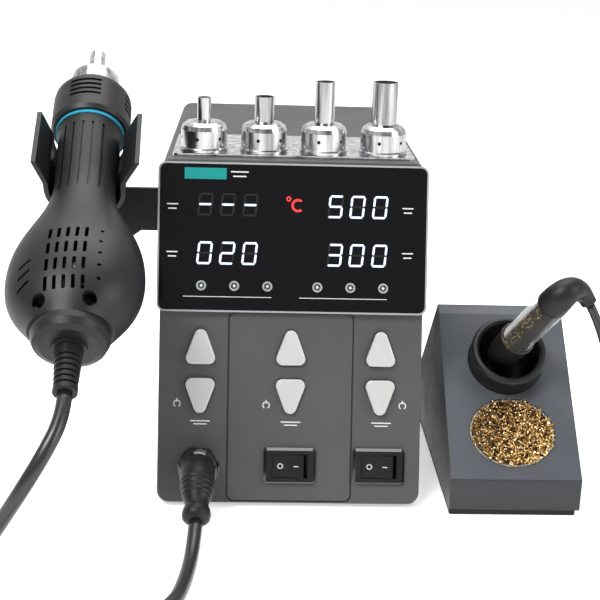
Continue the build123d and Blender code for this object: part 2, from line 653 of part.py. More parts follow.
def fitted_nozzle():
    base = HEATER_RADIUS + 0.7
    slip = HEATER_RADIUS + 0.05
    profile = [(slip, -1.0), (base, -1.0), (base, -12.0), (base - 1.4, -13.4), (3.7, -14.4), (3.7, -31.0),
               (3.1, -31.0), (3.1, -13.7), (slip - 1.6, -12.6), (slip, -12.4)]
    return turned(GUN, profile)


def fan_place():
    return GUN.location * Pos(0, 0, FAN_STATION) * Rot(-90, 0, 0)


def fan_rotor():
    """Backward-curved blower wheel that turns about the gun's front-to-back axis."""
    wheel = Cylinder(20, 1.6) + Pos(0, 0, 3) * Cylinder(6.5, 7)
    for k in range(11):
        blade = Rot(0, 0, 360 / 11 * k) * Pos(13.5, 0, 4.6) * Rot(0, 0, 28) * Box(9, 1.0, 8)
        wheel += blade
    wheel -= Pos(0, 0, 0) * Cylinder(1.56, 30)
    return fan_place() * wheel


def fan_motor():
    motor = Pos(0, 0, -2.2) * Cylinder(10, 9.0, align=(Align.CENTER, Align.CENTER, Align.MAX))
    motor += Cylinder(1.5, 14)
    return fan_place() * motor


def tail_cap():
    low = GUN_STATIONS[-1][0]
    profile = [(4.2, low), (TAIL_RADIUS, low), (TAIL_RADIUS, TAIL_END - 4), (TAIL_RADIUS - 1.2, TAIL_END - 1.2),
               (TAIL_RADIUS - 4, TAIL_END), (7.2, TAIL_END), (7.2, TAIL_END + 1.2), (5.8, TAIL_END + 1.2),
               (5.8, TAIL_END - 3), (4.2, TAIL_END - 3)]
    return turned(GUN, profile)


def gun_strain_relief():
    """Ribbed rubber sleeve that tapers towards the cord."""
    start = TAIL_END - 2.9
    end = TAIL_END + RELIEF_LENGTH
    profile = [(0, start), (5.7, start), (5.7, TAIL_END + 4)]
    ribs = 6
    step = (end - 3 - TAIL_END - 4) / ribs
    for k in range(ribs):
        low = TAIL_END + 4 + k * step
        radius = 5.6 - 0.16 * k
        profile += [(radius, low), (radius, low + step * 0.6), (radius - 0.8, low + step * 0.6 + 0.2),
                    (radius - 0.8, low + step - 0.2)]
    profile += [(4.9, end - 3), (4.9, end - 0.6), (4.3, end), (0, end)]
    return turned(GUN, profile)


# ---------------------------------------------------------------- iron stand
SLANT_TOP = (STAND_FRONT + 0.3 + STAND_SLANT * math.cos(slope),
             STAND_BASE + STAND_LIP + STAND_SLANT * math.sin(slope))
APEX = (SLANT_TOP[0] + 5.5, SLANT_TOP[1] + 3.2)


def stand_profile():
    """Side outline of the folded sheet, in depth and height."""
    points = [(STAND_FRONT, STAND_BASE), (STAND_FRONT + 0.3, STAND_BASE + STAND_LIP), SLANT_TOP, APEX,
              (STAND_BACK, STAND_BASE)]
    outline = make_face(Polyline(*[(0, y, z) for y, z in points], close=True))
    bends = [v for v in outline.vertices() if v.Z > STAND_BASE + 1]
    return fillet(bends, 1.6)


def oval(inset, low, high):
    """Oval prism in the stand's lower hole, shrunk by an inset."""
    section = Ellipse(WOOL_HOLE[0] - inset, WOOL_HOLE[1] - inset)
    return on(SLANT, 0, WOOL_STATION, low) * extrude(section, high - low)


def stand_body():
    right = STAND_LEFT + STAND_WIDTH
    body = Pos(STAND_LEFT, 0, 0) * extrude(stand_profile(), STAND_WIDTH, dir=(1, 0, 0))
    inner = offset(stand_profile(), amount=-STAND_SHEET)
    body -= Pos(STAND_LEFT + STAND_SHEET, 0, 0) * extrude(inner, STAND_WIDTH - 2 * STAND_SHEET, dir=(1, 0, 0))
    body -= block((STAND_LEFT + STAND_SHEET, STAND_FRONT + STAND_SHEET, STAND_BASE - 1),
                  (right - STAND_SHEET, STAND_BACK - 6, STAND_BASE + STAND_SHEET + 0.2))
    body -= oval(0, -6, 5)
    body -= disc(SLANT, HOLDER_HOLE, -6, 5, 0, HOLDER_STATION)
    return body


def stand_base():
    inset = 0.6
    slab = block((STAND_LEFT + 0.2, STAND_FRONT + 0.5, 0), (STAND_LEFT + STAND_WIDTH - 2.0, STAND_BACK - 1, STAND_BASE))
    low = [e for e in slab.edges() if e.center().Z < 0.01]
    return chamfer(low, inset)


def holder_cup():
    """Rubber-rimmed guide that takes the iron's nose, open at its lower end."""
    hole = HOLDER_HOLE - 0.05
    profile = [(18.0, 0.0), (17.8, 1.4), (17.2, 3.0), (16.9, 6.0), (17.0, 8.0), (HOLDER_RIM, 9.2),
               (HOLDER_RIM, 10.4), (16.9, 11.6), (15.6, 11.9), (14.5, 11.0), (14.1, 8.0), (13.9, 0.0), (12.6, -15.0),
               (14.4, -15.0), (15.6, -2.0), (hole, -1.6), (hole, 0.0)]
    return turned(SLANT, profile, 0, HOLDER_STATION)


def wool_tin():
    return oval(TOUCH, -WOOL_DEPTH, -0.4) - oval(TOUCH + 0.8, -WOOL_DEPTH + 0.8, 5)


def brass_wool():
    wad = oval(TOUCH + 0.9, -WOOL_DEPTH + 0.9, 0.9)
    top = [e for e in wad.edges() if abs(SLANT.to_local_coords(e.center()).Z - 0.9) < 0.01]
    return fillet(top, 1.2)


# ---------------------------------------------------------------- soldering iron
def iron_grip():
    """Nose that sits in the holder, its collar, and the slimmer barrel above."""
    top = IRON_COLLAR
    profile = [(0, -14), (4.3, -14), (6.6, -8), (7.6, -4), (7.9, 2), (7.9, top - 3), (IRON_GRIP, top - 2.4),
               (IRON_GRIP, top - 0.6), (IRON_GRIP - 0.6, top), (IRON_BARREL, top), (IRON_BARREL, IRON_TOP), (0, IRON_TOP)]
    return turned(IRON, profile)


def iron_sleeve():
    low = IRON_COLLAR + 0.1
    high = IRON_TOP
    return disc(IRON, IRON_SLEEVE, low, high) - disc(IRON, IRON_BARREL + 0.2, low - 1, high + 1)


def iron_cartridge():
    """Heated shank with its pointed tip."""
    return turned(IRON, [(0, -14), (2.7, -14), (2.7, -42), (2.5, -42.3), (2.3, -46), (0.5, IRON_TIP + 1), (0, IRON_TIP)])


BOOT_START = on(IRON, 0, 0, IRON_TOP).position
BOOT_END = Vector(130.6, 6.0, 99.1)
BOOT_EXIT = Vector(0.50, -0.12, -0.86).normalized()


def iron_boot():
    """Thick rubber boot that bends the cord over and down."""
    line = Bezier(BOOT_START, BOOT_START + IRON.z_dir * 13, BOOT_END - BOOT_EXIT * 13, BOOT_END)
    sections = ((0, 7.1), (0.2, 6.8), (0.4, 6.2), (0.6, 5.4), (0.8, 4.4), (0.95, 3.6), (1.0, 3.5))
    return boot(line, sections, IRON.z_dir.cross(BOOT_EXIT))


# ---------------------------------------------------------------- cords
def route_radii(points):
    """Arc radius at each inner corner: as large as its two runs allow."""
    radii = []
    for a, b, c in zip(points, points[1:], points[2:]):
        run_in = (Vector(*b) - Vector(*a))
        run_out = (Vector(*c) - Vector(*b))
        half_turn = math.radians(run_in.get_angle(run_out)) / 2
        radii.append(0.45 * min(run_in.length, run_out.length) / math.tan(half_turn))
    return radii


def cord_tube(name, points, diameter):
    """Round cord along straight runs joined by tangent arcs."""
    radii = route_radii(points)
    path = FilletPolyline(*points, radius=radii)
    tube = sweep(Plane(origin=path @ 0, z_dir=path % 0).location * Circle(diameter / 2), path)
    expected = math.pi * diameter ** 2 / 4 * path.length
    print(name, "length", round(path.length, 1), "radii", [round(r, 1) for r in radii],
          "volume ratio", round(tube.volume / expected, 4))
    return tube


def tail_point(distance):
    return tuple(on(GUN, 0, 0, distance).position)


# The drops are split in the air, where they part when the gun or the iron is lifted out.
GUN_EXIT = TAIL_END + RELIEF_LENGTH
GUN_DROP = [tail_point(GUN_EXIT), tail_point(GUN_EXIT + 11), (-95.0, -85.0, 65.0), (-103.0, -87.5, 52.0),
            (-110.5, -84.5, 39.5)]
GUN_RUN = [(-110.5, -84.5, 39.5), (-117.0, -81.9, 28.66), (-123.5, -75.0, 17.5), (-126.0, -63.0, 8.0),
           (-126.6, -49.0, 3.1)]
GUN_LEAD = [tuple(PLUG_END), tuple(PLUG_END + PLUG_EXIT * 14), (-42.5, -64.0, 3.6), (-46.0, -84.0, 3.2),
            (-60.0, -101.0, 3.2), (-84.0, -107.0, 3.2), (-114.0, -107.0, 3.2), (-146.0, -100.5, 3.2)]
GUN_COIL = (-171.0, -64.0)
GUN_COIL_RADII = (27.9, 40.1)
IRON_DROP = [tuple(BOOT_END), tuple(BOOT_END + BOOT_EXIT * 9), (141.0, 2.4, 73.5), (150.0, -1.0, 52.0)]
IRON_RUN = [(150.0, -1.0, 52.0), (157.2, -3.72, 34.8), (163.0, -5.5, 18.5), (171.0, -9.5, 7.0),
            (181.5, -14.3, 2.2)]
IRON_COIL = (198.0, 13.0)
IRON_COIL_RADII = (16.0, 28.0)
IRON_TAIL = [(225.9, 25.5, 10.3), (223.2, 37.0, 9.9), (222.3, 51.0, 9.5)]


def coil(place, radii, height):
    ring = Cylinder(radii[1], height, align=(Align.CENTER, Align.CENTER, Align.MIN))
    ring -= Cylinder(radii[0], height * 3)
    return Pos(*place, 0.0) * ring


def iron_plug():
    """Loose plug at the end of the iron's cord, lying on the bench."""
    end = Vector(*IRON_TAIL[-1])
    place = Plane(origin=end, x_dir=(1, 0, 0), z_dir=(end - Vector(*IRON_TAIL[-2])).normalized())
    profile = [(0, 0), (3.6, 0), (4.6, 8), (6.2, 12), (6.2, 20), (8.5, 20.5), (8.5, 31), (5.4, 31), (5.4, 36), (0, 36)]
    return turned(place, profile)


# ---------------------------------------------------------------- assembly
nodes = {
    "case_shell": case_shell(),
    "base_plate": base_plate(),
    "feet": feet(),
    "front_bezel": front_bezel(),
    "centre_trim": centre_trim(),
    "display_bezel": display_bezel(),
    "display_lens": display_lens(),
    "led_bezels": led_bezels(),
    "front_board": front_board(),
    "rocker_frames": group(*[rocker_frame(x) for x in ROCKER_PLACES.values()]),
    "panel_sockets": group(gun_socket(), iron_socket()),
    "plug_ring": plug_ring(),
    "gun_plug": gun_plug(),
    "nozzle_rack": nozzle_rack(),
    "rear_panel": rear_panel(),
    "mains_inlet": mains_inlet(),
    "main_board": main_board(),
    "transformer": transformer(),
    "case_screws": case_screws(),
    "cradle": cradle(),
    "gun_shell_front": gun_shell(1),
    "gun_shell_rear": gun_shell(-1),
    "gun_collar": gun_collar(),
    "accent_ring": accent_ring(),
    "heater": heater(),
    "fitted_nozzle": fitted_nozzle(),
    "fan_rotor": fan_rotor(),
    "fan_motor": fan_motor(),
    "tail_cap": tail_cap(),
    "gun_strain_relief": gun_strain_relief(),
    "stand_body": stand_body(),
    "stand_base": stand_base(),
    "holder_cup": holder_cup(),
    "wool_tin": wool_tin(),
    "brass_wool": brass_wool(),
    "iron_grip": iron_grip(),
    "iron_sleeve": iron_sleeve(),
    "iron_cartridge": iron_cartridge(),
    "iron_boot": iron_boot(),
}
for name, place in BUTTON_PLACES.items():
    nodes[name] = button(place)
for name, x in ROCKER_PLACES.items():
    nodes[name] = rocker(x)
for k in range(4):
    nodes[f"nozzle_{k + 1}"] = nozzle(k)
cords = {
    "gun_cord_drop": cord_tube("gun_cord_drop", GUN_DROP, GUN_CORD),
    "gun_cord_run": cord_tube("gun_cord_run", GUN_RUN, GUN_CORD),
    "gun_cord_lead": cord_tube("gun_cord_lead", GUN_LEAD, GUN_CORD),
    "gun_cord_coil": coil(GUN_COIL, GUN_COIL_RADII, 2 * GUN_CORD + 0.4),
    "iron_cord_drop": cord_tube("iron_cord_drop", IRON_DROP, IRON_CORD),
    "iron_cord_run": cord_tube("iron_cord_run", IRON_RUN, IRON_CORD),
    "iron_cord_coil": coil(IRON_COIL, IRON_COIL_RADII, 3 * IRON_CORD),
    "iron_cord_tail": cord_tube("iron_cord_tail", IRON_TAIL, IRON_CORD),
    "iron_plug": iron_plug(),
}

box = Compound(children=[s for shape in nodes.values() for s in shape.solids()]).bounding_box()
SHIFT = Pos(-(box.min.X + box.max.X) / 2, -(box.min.Y + box.max.Y) / 2, -box.min.Z)
os.makedirs("parts", exist_ok=True)
for name, shape in {**nodes, **cords}.items():
    moved = [SHIFT * solid for solid in shape.solids()]
    export_step(moved[0] if len(moved) == 1 else Compound(children=moved), f"parts/{name}.step")
print("nodes", len(nodes) + len(cords), "shift", SHIFT.position, "box", box)
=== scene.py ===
import bpy
import json
import math
import random
from mathutils import Matrix, Vector


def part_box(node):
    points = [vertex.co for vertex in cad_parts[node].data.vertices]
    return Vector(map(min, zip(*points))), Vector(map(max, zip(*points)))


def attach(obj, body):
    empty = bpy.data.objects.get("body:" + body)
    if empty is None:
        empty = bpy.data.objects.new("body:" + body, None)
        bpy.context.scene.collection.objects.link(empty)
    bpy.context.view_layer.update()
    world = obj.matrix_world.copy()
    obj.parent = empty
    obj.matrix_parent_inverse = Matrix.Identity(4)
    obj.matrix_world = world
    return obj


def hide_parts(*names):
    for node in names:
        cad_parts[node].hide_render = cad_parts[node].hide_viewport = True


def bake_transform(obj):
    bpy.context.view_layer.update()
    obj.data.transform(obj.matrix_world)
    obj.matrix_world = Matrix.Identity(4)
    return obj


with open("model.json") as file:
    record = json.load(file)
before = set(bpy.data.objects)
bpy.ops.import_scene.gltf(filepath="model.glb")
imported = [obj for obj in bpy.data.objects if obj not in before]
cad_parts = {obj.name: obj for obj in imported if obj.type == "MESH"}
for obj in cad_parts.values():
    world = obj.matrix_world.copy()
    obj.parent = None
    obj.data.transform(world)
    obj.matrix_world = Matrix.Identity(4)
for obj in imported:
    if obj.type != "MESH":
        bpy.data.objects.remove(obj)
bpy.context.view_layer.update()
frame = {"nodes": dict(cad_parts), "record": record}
random.seed(11)

# ------------------------------------------------------------ places, in metres
case_low, case_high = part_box("case_shell")
ORIGIN = Vector(((case_low[0] + case_high[0]) / 2, case_high[1] - 0.204, case_low[2] - 0.002))
FACE_LEAN = 16.63
HOLDER_TURN = 19.0
LEAN = math.radians(FACE_LEAN)
SLOPE = math.radians(42)
FACE_UP = Vector((0, math.sin(LEAN), math.cos(LEAN)))
FACE_OUT = Vector((0, -math.cos(LEAN), math.sin(LEAN)))
SLANT_UP = Vector((0, math.cos(SLOPE), math.sin(SLOPE)))
SLANT_OUT = Vector((0, -math.sin(SLOPE), math.cos(SLOPE)))


def at(x, y, z):
    """Point in the drawing's millimetres, measured from the unit's bottom front edge."""
    return ORIGIN + Vector((x, y, z)) / 1000


def on_face(x, s, h=0.0):
    """Point on the control panel: across, up the slope, out of it."""
    return ORIGIN + Vector((x / 1000, 0, 0)) + FACE_UP * (s / 1000) + FACE_OUT * (h / 1000)


def on_slant(x, s, h=0.0):
    """Point on the stand's sloping plate."""
    return at(103.2, -4.0, 18.0) + Vector((x / 1000, 0, 0)) + SLANT_UP * (s / 1000) + SLANT_OUT * (h / 1000)


HOLDER_LEAN = math.radians(HOLDER_TURN)
IRON_AXIS = Vector((math.sin(HOLDER_LEAN) * math.cos(SLOPE), -math.sin(SLOPE),
                    math.cos(HOLDER_LEAN) * math.cos(SLOPE)))
IRON_SEAT = on_slant(-0.3, 62.0, 11.0)
WOOL_STATION = 23.4
WOOL_HALF = Vector((19.75, 17.05, 0))
SLEEVE_MIDDLE = IRON_SEAT + IRON_AXIS * 0.027
SLEEVE_SIDE = IRON_AXIS.cross(Vector((0.04, 0.95, -0.31))).normalized()


# ------------------------------------------------------------ materials
class Value:
    """A socket that can be used in arithmetic."""

    def __init__(self, tree, socket):
        self.tree = tree
        self.socket = socket

    def math(self, operation, *others, clamp=False):
        node = self.tree.nodes.new("ShaderNodeMath")
        node.operation = operation
        node.use_clamp = clamp
        for place, item in zip(node.inputs, others):
            if isinstance(item, Value):
                self.tree.links.new(item.socket, place)
            else:
                place.default_value = item
        return Value(self.tree, node.outputs[0])

    def __add__(self, other):
        return self.math("ADD", self, other)

    def __radd__(self, other):
        return self.math("ADD", other, self)

    def __sub__(self, other):
        return self.math("SUBTRACT", self, other)

    def __rsub__(self, other):
        return self.math("SUBTRACT", other, self)

    def __mul__(self, other):
        return self.math("MULTIPLY", self, other)

    def __rmul__(self, other):
        return self.math("MULTIPLY", other, self)

    def __truediv__(self, other):
        return self.math("DIVIDE", self, other)

    def __rtruediv__(self, other):
        return self.math("DIVIDE", other, self)

    def clamp(self):
        return self.math("ADD", self, 0.0, clamp=True)

    def above(self, edge, soft):
        """0 below the edge, 1 above it, over a soft width."""
        return self.math("DIVIDE", self - (edge - soft / 2), soft, clamp=True)


class Paint:
    """A material with one Principled shader."""

    def __init__(self, name, **constants):
        self.material = bpy.data.materials.new(name)
        self.material.use_nodes = True
        self.tree = self.material.node_tree
        self.shader = next(n for n in self.tree.nodes if n.type == "BSDF_PRINCIPLED")
        for key, value in constants.items():
            self.shader.inputs[key.replace("_", " ")].default_value = value
        self.place = self.node("TexCoord", {})["Object"]

    def node(self, kind, settings, **sockets):
        made = self.tree.nodes.new("ShaderNode" + kind)
        for key, value in settings.items():
            setattr(made, key, value)
        for key, value in sockets.items():
            socket = made.inputs[key.replace("_", " ")]
            if isinstance(value, Value):
                self.tree.links.new(value.socket, socket)
            else:
                socket.default_value = value
        return {out.name: Value(self.tree, out) for out in made.outputs if out.enabled}

    def noise(self, scale, detail=3.0, rough=0.5, place=None):
        made = self.node("TexNoise", {}, Vector=place or self.place, Scale=scale, Detail=detail, Roughness=rough)
        return made["Fac"]

    def stretched(self, x, y, z, turn=(0, 0, 0)):
        return self.node("Mapping", {}, Vector=self.place, Scale=(x, y, z), Rotation=turn)["Vector"]

    def mixed(self, factor, a, b):
        made = self.tree.nodes.new("ShaderNodeMix")
        made.data_type = "RGBA"
        self.link(factor, made.inputs[0])
        self.link(a, made.inputs[6])
        self.link(b, made.inputs[7])
        return Value(self.tree, made.outputs[2])

    def link(self, value, socket):
        if isinstance(value, Value):
            self.tree.links.new(value.socket, socket)
        else:
            socket.default_value = value

    def away_from(self, point):
        """Vector from a fixed point to the place being shaded."""
        away = self.node("VectorMath", {"operation": "SUBTRACT"})["Vector"]
        self.link(self.place, away.socket.node.inputs[0])
        away.socket.node.inputs[1].default_value = point
        return away

    def along(self, vector, way):
        """How far a vector reaches along a direction."""
        dot = self.node("VectorMath", {"operation": "DOT_PRODUCT"})["Value"]
        self.link(vector, dot.socket.node.inputs[0])
        dot.socket.node.inputs[1].default_value = way
        return dot

    def set(self, **sockets):
        for key, value in sockets.items():
            self.link(value, self.shader.inputs[key.replace("_", " ")])

    def bump(self, height, distance, strength=1.0):
        self.set(Normal=self.node("Bump", {}, Height=height, Distance=distance, Strength=strength)["Normal"])


def tone(color, gain):
    return (color[0] * gain, color[1] * gain, color[2] * gain, 1.0)


def sheen(paint, rough, grain, depth, cloud):
    """Fine grain and uneven gloss of a painted or moulded surface."""
    fine = paint.noise(grain, 2.0)
    smudge = paint.noise(cloud * 2.7, 6.0, 0.65).above(0.52, 0.25)
    paint.set(Roughness=(rough - 0.05) + smudge * 0.08 + fine * 0.05)
    paint.bump(fine, depth)


def coated(name, color, rough, grain=1400.0, depth=0.00006, spread=0.12, cloud=14.0, **constants):
    """Painted or moulded surface: sheen over a slightly cloudy colour."""
    paint = Paint(name, **constants)
    clouds = paint.noise(cloud, 5.0, 0.6)
    sheen(paint, rough, grain, depth, cloud)
    paint.set(Base_Color=paint.mixed(clouds, tone(color, 1 - spread), tone(color, 1 + spread)))
    return paint


def metal(name, color, rough, stretch=(1, 1, 1), grain=500.0, depth=0.00001, **constants):
    """Bare metal with fine drawn or turned lines."""
    paint = Paint(name, Metallic=1.0, **constants)
    lines = paint.noise(grain, 3.0, 0.6, paint.stretched(*stretch))
    clouds = paint.noise(30.0, 4.0, 0.6)
    paint.set(Base_Color=paint.mixed(clouds, tone(color, 0.88), tone(color, 1.06)))
    paint.set(Roughness=(rough - 0.05) + lines * 0.10 + clouds * 0.06)
    paint.bump(lines, depth)
    return paint


def window():
    paint = Paint("display_glass", Roughness=0.06, IOR=1.5, Specular_IOR_Level=0.12)
    haze = paint.noise(30.0, 6.0, 0.6)
    dust = paint.noise(900.0, 2.0).above(0.74, 0.05)
    paint.set(Base_Color=paint.mixed(dust * 0.4, (0.0035, 0.0035, 0.0042, 1), (0.03, 0.03, 0.032, 1)))
    paint.set(Roughness=0.05 + haze * 0.08 + dust * 0.2)
    return paint


def board():
    paint = Paint("circuit_board", Roughness=0.4)
    tracks = paint.noise(160.0, 1.0).above(0.52, 0.03)
    pads = paint.node("TexVoronoi", {}, Vector=paint.place, Scale=330.0)["Distance"].above(0.23, 0.03)
    green = paint.mixed(tracks, (0.008, 0.07, 0.028, 1), (0.012, 0.12, 0.05, 1))
    paint.set(Base_Color=paint.mixed(pads, (0.5, 0.5, 0.46, 1), green))
    paint.bump(tracks, 0.00004)
    return paint


def clear_sleeve_painted_edges():
    paint = Paint("clear_sleeve", Roughness=0.12, IOR=1.45)
    away = paint.away_from(SLEEVE_MIDDLE)
    side = paint.along(away, SLEEVE_SIDE)
    # Pale, partly opaque bands on the sleeve's two sides across the view: painted reflection; the middle stays
    # clear.
    edge = side.math("ABSOLUTE", side).above(0.0060, 0.0010)
    scuffs = paint.noise(120.0, 5.0, 0.7)
    paint.set(Base_Color=paint.mixed(scuffs, (0.70, 0.72, 0.72, 1), (0.84, 0.85, 0.85, 1)))
    paint.set(Alpha=(edge * 0.42 + scuffs * 0.03).clamp())
    paint.set(Roughness=0.1 + scuffs * 0.15)
    return paint


def flecked():
    """Black handle with fine golden flecks in a soft patch on one side."""
    paint = Paint("iron_black", Roughness=0.4, Specular_IOR_Level=0.3)
    away = paint.away_from(IRON_SEAT)
    along = paint.along(away, IRON_AXIS)
    aside = paint.along(away, SLEEVE_SIDE)
    patch = aside.above(0.0012, 0.0020) * along.above(0.011, 0.004) * (1.0 - along.above(0.041, 0.004))
    flecks = paint.node("TexVoronoi", {}, Vector=paint.place, Scale=900.0)["Distance"]
    spots = (1.0 - flecks.above(0.34, 0.10)) * patch * paint.noise(260.0, 2.0).above(0.40, 0.12)
    paint.set(Base_Color=paint.mixed(spots, (0.010, 0.009, 0.008, 1), (0.62, 0.43, 0.13, 1)))
    paint.set(Metallic=spots * 0.7, Roughness=0.40 - spots * 0.1)
    paint.bump(paint.noise(1500.0), 0.00004)
    return paint


def swarf():
    """Curled brass swarf: browner to the upper left, paler low on the right."""
    paint = Paint("brass_curls", Metallic=1.0)
    away = paint.away_from(on_slant(0, WOOL_STATION))
    shade = paint.along(away, Vector((0.6, 0, 0)) - SLANT_UP * 0.8)
    patch = paint.noise(170.0, 3.0, 0.6)
    pale = (patch + shade * 22.0).clamp()
    curl = paint.noise(900.0, 2.0)
    low = paint.mixed(pale, (0.24, 0.115, 0.03, 1), (0.80, 0.55, 0.23, 1))
    paint.set(Base_Color=paint.mixed(curl.above(0.60, 0.2), low, (0.95, 0.80, 0.50, 1)))
    paint.set(Roughness=0.22 + patch * 0.22)
    paint.bump(curl, 0.00006)
    return paint


def rubber(name, color, rough):
    return coated(name, color, rough, grain=2200.0, depth=0.00003, spread=0.2, cloud=40.0, Specular_IOR_Level=0.25)


def enamel():
    """Stand's paint: blue grey on the sloping plate, with painted shade: darker on the edge faces, nearly black on
    the faces turned to the left.
    """
    paint = Paint("stand_paint", Specular_IOR_Level=0.35)
    sheen(paint, 0.40, 1300.0, 0.00006, 14.0)
    facing = paint.node("TexCoord", {})["Normal"]
    # Painted shade by facing: faces off the sloping plate are painted dark, and those turned to the left nearly
    # black.
    plate = paint.along(facing, SLANT_OUT).above(0.94, 0.06)
    shaded_left_faces = paint.along(facing, Vector((-1, 0, 0))).above(0.6, 0.4)
    clouds = paint.noise(14.0, 5.0, 0.6)
    face = paint.mixed(clouds, (0.050, 0.056, 0.065, 1), (0.062, 0.068, 0.078, 1))
    shaded_edge_faces = paint.mixed(shaded_left_faces, (0.022, 0.024, 0.027, 1), (0.006, 0.006, 0.007, 1))
    paint.set(Base_Color=paint.mixed(plate, shaded_edge_faces, face))
    return paint


def bright_steel():
    """Polished nozzles: painted dark reflections broken by fine upright streaks of painted reflection, which also
    give fine lines in the surface.
    """
    paint = Paint("polished_steel", Metallic=1.0)
    polish_lines_and_glints = paint.noise(260.0, 3.0, 0.6, paint.stretched(1, 1, 0.05))
    bands = paint.noise(70.0, 4.0, 0.6)
    # The base colour is painted reflection: dark, with pale upright streaks.
    paint.set(Base_Color=paint.mixed(polish_lines_and_glints.above(0.48, 0.3), (0.20, 0.20, 0.21, 1), (0.66, 0.66, 0.67, 1)))
    paint.set(Roughness=0.12 + polish_lines_and_glints * 0.14 + bands * 0.06)
    paint.bump(polish_lines_and_glints, 0.000008)
    return paint


def cord_jacket():
    paint = Paint("cord_black", Roughness=0.3)
    scuffs = paint.noise(220.0, 4.0, 0.6)
    fine = paint.noise(2600.0, 2.0)
    paint.set(Base_Color=paint.mixed(scuffs, (0.008, 0.008, 0.009, 1), (0.016, 0.016, 0.017, 1)))
    paint.set(Roughness=0.24 + scuffs * 0.16)
    paint.bump(fine, 0.00003)
    return paint


def lamp(name, color, strength):
    """Lit segment: its glow varies slightly through a cloud."""
    paint = Paint(name, Base_Color=(color[0] * 0.3, color[1] * 0.3, color[2] * 0.3, 1), Roughness=0.2)
    paint.shader.inputs["Emission Strength"].default_value = strength
    cloud = paint.noise(700.0, 2.0)
    paint.set(Emission_Color=paint.mixed(cloud, tone(color, 0.9), tone(color, 1.0)))
    return paint


PAINTS = {
    "case_metal": coated("case_metal", (0.036, 0.036, 0.039), 0.5, grain=1100.0, depth=0.00008,
                         Specular_IOR_Level=0.35),
    "front_plastic": coated("front_plastic", (0.058, 0.058, 0.059), 0.42, grain=1700.0, depth=0.00005, spread=0.06,
                            Specular_IOR_Level=0.35),
    "black_plastic": coated("black_plastic", (0.0085, 0.0085, 0.0092), 0.42, grain=1900.0, depth=0.00005,
                            Specular_IOR_Level=0.3),
    "display_glass": window(),
    "rim_grey": coated("rim_grey", (0.26, 0.27, 0.28), 0.35, grain=1500.0, depth=0.00003, spread=0.05),
    "pearl_button": coated("pearl_button", (0.40, 0.40, 0.395), 0.24, grain=3000.0, depth=0.00002, spread=0.08,
                           Coat_Weight=0.4),
    "gloss_black": coated("gloss_black", (0.010, 0.010, 0.011), 0.14, grain=900.0, depth=0.000008, Coat_Weight=0.5),
    "circuit_board": board(),
    "steel": metal("steel", (0.56, 0.56, 0.55), 0.34, (1, 1, 12)),
    "polished_steel": bright_steel(),
    "stand_paint": enamel(),
    "cradle_paint": coated("cradle_paint", (0.008, 0.008, 0.0085), 0.38, grain=1200.0, depth=0.00006,
                           Specular_IOR_Level=0.3),
    "rubber_black": rubber("rubber_black", (0.008, 0.008, 0.0085), 0.42),
    "base_rubber": rubber("base_rubber", (0.005, 0.009, 0.007), 0.55),
    "cyan_accent": coated("cyan_accent", (0.03, 0.34, 0.50), 0.3, grain=1500.0, depth=0.00002),
    "wool_brass": swarf(),
    "ceramic": coated("ceramic", (0.62, 0.58, 0.52), 0.7, grain=800.0, depth=0.0001),
    "clear_sleeve": clear_sleeve_painted_edges(),
    "cord_black": cord_jacket(),
}
IRON_BLACK = flecked()
LIT = lamp("lit_segment", (0.66, 0.72, 1.0), 1.5)
RED = lamp("lit_red", (1.0, 0.05, 0.05), 0.9)
PRINT = coated("panel_print", (0.55, 0.56, 0.56), 0.45, grain=2500.0, depth=0.000005, spread=0.05)
TEAL = coated("badge_teal", (0.0, 0.20, 0.19), 0.3, grain=2500.0, depth=0.000005, spread=0.05)
DIM = coated("dim_segment", (0.0055, 0.0058, 0.0068), 0.25, grain=2500.0, depth=0.000005, spread=0.05)

for entry in frame["record"]["subparts"]:
    thing = frame["nodes"][entry["node"]]
    for holder in thing.material_slots:
        holder.material = PAINTS[entry["material_slot"]].material
for holder in frame["nodes"]["iron_grip"].material_slots:
    holder.material = IRON_BLACK.material


# ------------------------------------------------------------ building pieces
def piece(name, points, faces, paint, body, smooth=False):
    mesh = bpy.data.meshes.new(name)
    mesh.from_pydata([tuple(p) for p in points], [], faces)
    mesh.validate()
    mesh.update()
    thing = bpy.data.objects.new(name, mesh)
    bpy.context.scene.collection.objects.link(thing)
    mesh.materials.append(paint.material)
    if smooth:
        for face in mesh.polygons:
            face.use_smooth = True
    if body:
        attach(thing, body)
    return thing


class Solids:
    """Gathers points and faces of many small solids into one piece."""

    def __init__(self):
        self.points = []
        self.faces = []

    def prism(self, outline, place, low, high):
        """Outline of (x, y) pairs between two heights; place gives a point for x, y, height."""
        start = len(self.points)
        count = len(outline)
        for h in (low, high):
            self.points += [place(x, y, h) for x, y in outline]
        self.faces.append(tuple(start + count + k for k in range(count)))
        self.faces.append(tuple(start + k for k in reversed(range(count))))
        for k in range(count):
            after = (k + 1) % count
            self.faces.append((start + k, start + after, start + count + after, start + count + k))


def swept(points, radii, around=28):
    """Closed round tube along points; radii is one radius or one for each point."""
    if not isinstance(radii, (list, tuple)):
        radii = [radii] * len(points)
    tangents = []
    for k in range(len(points)):
        tangents.append((points[min(k + 1, len(points) - 1)] - points[max(k - 1, 0)]).normalized())
    side = tangents[0].orthogonal().normalized()
    verts, faces = [], []
    for k, (centre, way, radius) in enumerate(zip(points, tangents, radii)):
        side = (side - way * side.dot(way)).normalized()
        other = way.cross(side)
        for j in range(around):
            angle = 2 * math.pi * j / around
            verts.append(centre + (side * math.cos(angle) + other * math.sin(angle)) * radius)
        if k:
            for j in range(around):
                after = (j + 1) % around
                low = (k - 1) * around
                faces.append((low + j, low + after, low + around + after, low + around + j))
    faces.append(tuple(reversed(range(around))))
    faces.append(tuple((len(points) - 1) * around + j for j in range(around)))
    return verts, faces


